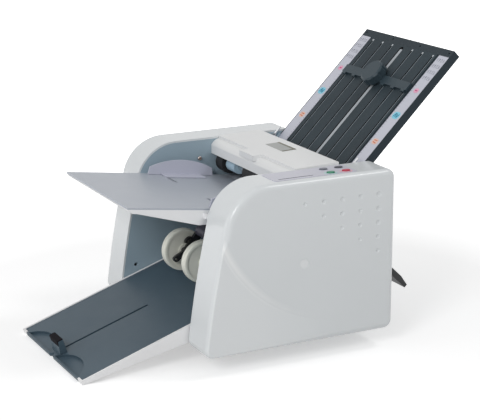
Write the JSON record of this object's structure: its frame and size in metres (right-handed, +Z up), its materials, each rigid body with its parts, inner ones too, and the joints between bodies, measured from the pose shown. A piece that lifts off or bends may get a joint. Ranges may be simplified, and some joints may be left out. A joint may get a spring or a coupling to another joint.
{
  "type": "paper folding machine",
  "caption": "Desktop paper folding machine: sloping feed table with guides, slanted upper and lower fold plates, hinged roller cover, stacker discs and exit tray.",
  "frame": {"origin": "on the desk, under the middle of the machine's bounding box at rest", "axes": "+Z up, +Y from the exit tray at the front to the rear, +X to the side with the control panel"},
  "size_m": [0.368, 0.6078, 0.417],
  "materials": {
    "cover_plastic": "fine matt texture",
    "plate_paint": "satin blue-grey paint",
    "steel": "brushed",
    "chrome": "polished",
    "foot_rubber": "matt",
    "shell_plastic": "fine matt texture",
    "bed_paint": "satin paint",
    "guide_plastic": "satin",
    "gear_plastic": "satin",
    "hood_plastic": "fine matt texture, pale grey",
    "window_foil": "gloss grey",
    "tyre_rubber": "matt",
    "hub_plastic": "satin light blue",
    "roller_rubber": "ground",
    "bush_brass": "satin",
    "belt_rubber": "matt",
    "board_green": "satin",
    "label_foil": "matt foil",
    "key_grey": "satin",
    "key_dark": "satin",
    "key_green": "satin",
    "key_red": "satin",
    "black_plastic": "satin",
    "chute_paint": "satin paint",
    "tongue_plastic": "satin",
    "fold_paint": "crinkled slate paint",
    "grid_paint": "crinkled slate paint",
    "scale_foil": "matt foil",
    "stop_paint": "satin slate",
    "disc_plastic": "satin cream",
    "tray_white": "satin",
    "tray_slate": "satin slate"
  },
  "bodies": {
    "machine": {"left_side_cover": "cover_plastic", "right_side_cover": "cover_plastic", "left_side_plate": "plate_paint", "right_side_plate": "plate_paint", "base_plate": "plate_paint", "rubber_feet": "foot_rubber", "cross_rods": "steel", "frame_screws": "steel", "hinge_and_latch_pins": "chrome", "rear_panel": "plate_paint", "feed_table_shell": "shell_plastic", "feed_table_bed": "bed_paint", "shaft_bushes": "bush_brass", "feed_belt": "belt_rubber", "main_belt": "belt_rubber", "drive_motor": "stop_paint", "control_board": "board_green", "control_label": "label_foil", "power_inlet": "black_plastic", "exit_chute": "chute_paint", "exit_hood": "tongue_plastic"},
    "cover": {"roller_cover": "hood_plastic", "cover_window": "window_foil"},
    "left_guide": {"left_paper_guide": "guide_plastic"},
    "right_guide": {"right_paper_guide": "guide_plastic"},
    "pinion": {"guide_pinion": "gear_plastic"},
    "feed_roller": {"feed_shaft": "chrome", "feed_tyres": "tyre_rubber", "feed_hubs": "hub_plastic", "feed_pulley": "black_plastic"},
    "separator": {"separator_pad": "tyre_rubber", "separator_holder": "black_plastic"},
    "roller_1": {"fold_roller_1": "roller_rubber", "roller_gear_1": "gear_plastic", "feed_drive_pulley": "black_plastic"},
    "roller_2": {"fold_roller_2": "roller_rubber", "roller_gear_2": "gear_plastic"},
    "roller_3": {"fold_roller_3": "roller_rubber", "roller_gear_3": "gear_plastic"},
    "roller_4": {"fold_roller_4": "roller_rubber", "roller_gear_4": "gear_plastic"},
    "motor_shaft": {"motor_pulley": "steel"},
    "grey_button": {"button_grey": "key_grey"},
    "dark_button": {"button_dark": "key_dark"},
    "green_button": {"button_green": "key_green"},
    "red_button": {"button_red": "key_red"},
    "rocker": {"rocker_switch": "key_dark"},
    "upper_plate": {"upper_plate_frame": "fold_paint", "upper_plate_grid": "grid_paint", "upper_plate_scales": "scale_foil"},
    "upper_stop": {"upper_stop_bar": "stop_paint"},
    "upper_knob": {"upper_stop_knob": "stop_paint"},
    "lower_plate": {"lower_plate_frame": "black_plastic"},
    "lower_stop": {"lower_stop_bar": "stop_paint"},
    "lower_knob": {"lower_stop_knob": "stop_paint"},
    "stacker": {"stacker_arm": "black_plastic"},
    "discs": {"stacker_discs": "disc_plastic"},
    "tray": {"tray_frame": "tray_white", "tray_bed": "tray_slate"},
    "letter_stop": {"tray_stop": "tray_slate"}
  },
  "joints": [
    {"name": "cover_hinge", "type": "hinge", "parent": "machine", "child": "cover", "pos_m": [0, 0.09422, 0.2615], "axis": [-1, 0, 0], "range_deg": [0, 100]},
    {"name": "left_guide_slide", "type": "slide", "parent": "machine", "child": "left_guide", "axis": [1, 0, 0], "range_m": [-0.003, 0.031]},
    {"name": "right_guide_slide", "type": "slide", "parent": "machine", "child": "right_guide", "axis": [-1, 0, 0], "range_m": [-0.003, 0.031]},
    {"name": "guide_pinion_turn", "type": "hinge", "parent": "machine", "child": "pinion", "pos_m": [0, -0.07659, 0.22216], "axis": [0, 0.1305, 0.9914], "range_deg": [-19.2, 197.5]},
    {"name": "roller_2_spin", "type": "hinge", "parent": "machine", "child": "roller_2", "pos_m": [0, 0.08532, 0.1986], "axis": [1, 0, 0], "continuous": true},
    {"name": "roller_1_spin", "type": "hinge", "parent": "machine", "child": "roller_1", "pos_m": [0, 0.07505, 0.22679], "axis": [1, 0, 0], "continuous": true},
    {"name": "roller_3_spin", "type": "hinge", "parent": "machine", "child": "roller_3", "pos_m": [0, 0.1152, 0.19598], "axis": [1, 0, 0], "continuous": true},
    {"name": "roller_4_spin", "type": "hinge", "parent": "machine", "child": "roller_4", "pos_m": [0, 0.08793, 0.16871], "axis": [1, 0, 0], "continuous": true},
    {"name": "feed_spin", "type": "hinge", "parent": "machine", "child": "feed_roller", "pos_m": [0, 0.03172, 0.232], "axis": [1, 0, 0], "continuous": true},
    {"name": "motor_spin", "type": "hinge", "parent": "machine", "child": "motor_shaft", "pos_m": [0, 0.04772, 0.071], "axis": [1, 0, 0], "continuous": true},
    {"name": "separator_tilt", "type": "hinge", "parent": "machine", "child": "separator", "pos_m": [0, 0.04972, 0.2045], "axis": [1, 0, 0], "range_deg": [0, 6], "stiffness_Nm_per_rad": 0.5, "springref_deg": -2.86},
    {"name": "grey_button_press", "type": "slide", "parent": "machine", "child": "grey_button", "axis": [0, 0, -1], "range_m": [0, 0.0012], "stiffness_N_per_m": 200, "springref_m": -0.0005},
    {"name": "dark_button_press", "type": "slide", "parent": "machine", "child": "dark_button", "axis": [0, 0, -1], "range_m": [0, 0.0012], "stiffness_N_per_m": 200, "springref_m": -0.0005},
    {"name": "green_button_press", "type": "slide", "parent": "machine", "child": "green_button", "axis": [0, 0, -1], "range_m": [0, 0.0012], "stiffness_N_per_m": 200, "springref_m": -0.0005},
    {"name": "red_button_press", "type": "slide", "parent": "machine", "child": "red_button", "axis": [0, 0, -1], "range_m": [0, 0.0012], "stiffness_N_per_m": 200, "springref_m": -0.0005},
    {"name": "mains_rocker", "type": "hinge", "parent": "machine", "child": "rocker", "pos_m": [0.1495, 0.15932, 0.0865], "axis": [1, 0, 0], "range_deg": [0, 14]},
    {"name": "upper_plate_slide", "type": "slide", "parent": "machine", "child": "upper_plate", "axis": [0, 0.7096, 0.7046], "range_m": [0, 0.06]},
    {"name": "upper_stop_slide", "type": "slide", "parent": "upper_plate", "child": "upper_stop", "axis": [0, 0.7096, 0.7046], "range_m": [-0.112, 0.035]},
    {"name": "upper_knob_turn", "type": "hinge", "parent": "upper_stop", "child": "upper_knob", "pos_m": [0, 0.24009, 0.36275], "axis": [0, -0.7046, 0.7096], "range_deg": [0, 180]},
    {"name": "lower_plate_slide", "type": "slide", "parent": "machine", "child": "lower_plate", "axis": [0, 0.7193, -0.6947], "range_m": [0, 0.06]},
    {"name": "lower_stop_slide", "type": "slide", "parent": "lower_plate", "child": "lower_stop", "axis": [0, 0.7193, -0.6947], "range_m": [-0.004, 0.046]},
    {"name": "lower_knob_turn", "type": "hinge", "parent": "lower_stop", "child": "lower_knob", "pos_m": [0, 0.1761, 0.11694], "axis": [0, 0.6947, 0.7193], "range_deg": [0, 180]},
    {"name": "stacker_arm_lift", "type": "hinge", "parent": "machine", "child": "stacker", "pos_m": [0, -0.04428, 0.1586], "axis": [-1, 0, 0], "range_deg": [0, 25]},
    {"name": "stacker_disc_spin", "type": "hinge", "parent": "stacker", "child": "discs", "pos_m": [0, -0.07728, 0.123], "axis": [1, 0, 0], "continuous": true},
    {"name": "tray_lift", "type": "hinge", "parent": "machine", "child": "tray", "pos_m": [0, -0.05488, 0.0687], "axis": [-1, 0, 0], "range_deg": [0, 18]},
    {"name": "letter_stop_slide", "type": "slide", "parent": "tray", "child": "letter_stop", "axis": [0, 0.9478, 0.319], "range_m": [0, 0.14]}
  ],
  "couplings": [
    {"joint": "roller_1_spin", "follows": "roller_2_spin", "ratio": -1},
    {"joint": "roller_3_spin", "follows": "roller_2_spin", "ratio": -1},
    {"joint": "roller_4_spin", "follows": "roller_2_spin", "ratio": -1},
    {"joint": "feed_spin", "follows": "roller_2_spin", "ratio": -1},
    {"joint": "motor_spin", "follows": "roller_2_spin", "ratio": 2},
    {"joint": "right_guide_slide", "follows": "left_guide_slide", "ratio": 1},
    {"joint": "guide_pinion_turn", "follows": "left_guide_slide", "rad_per_m": 111.11}
  ]
}
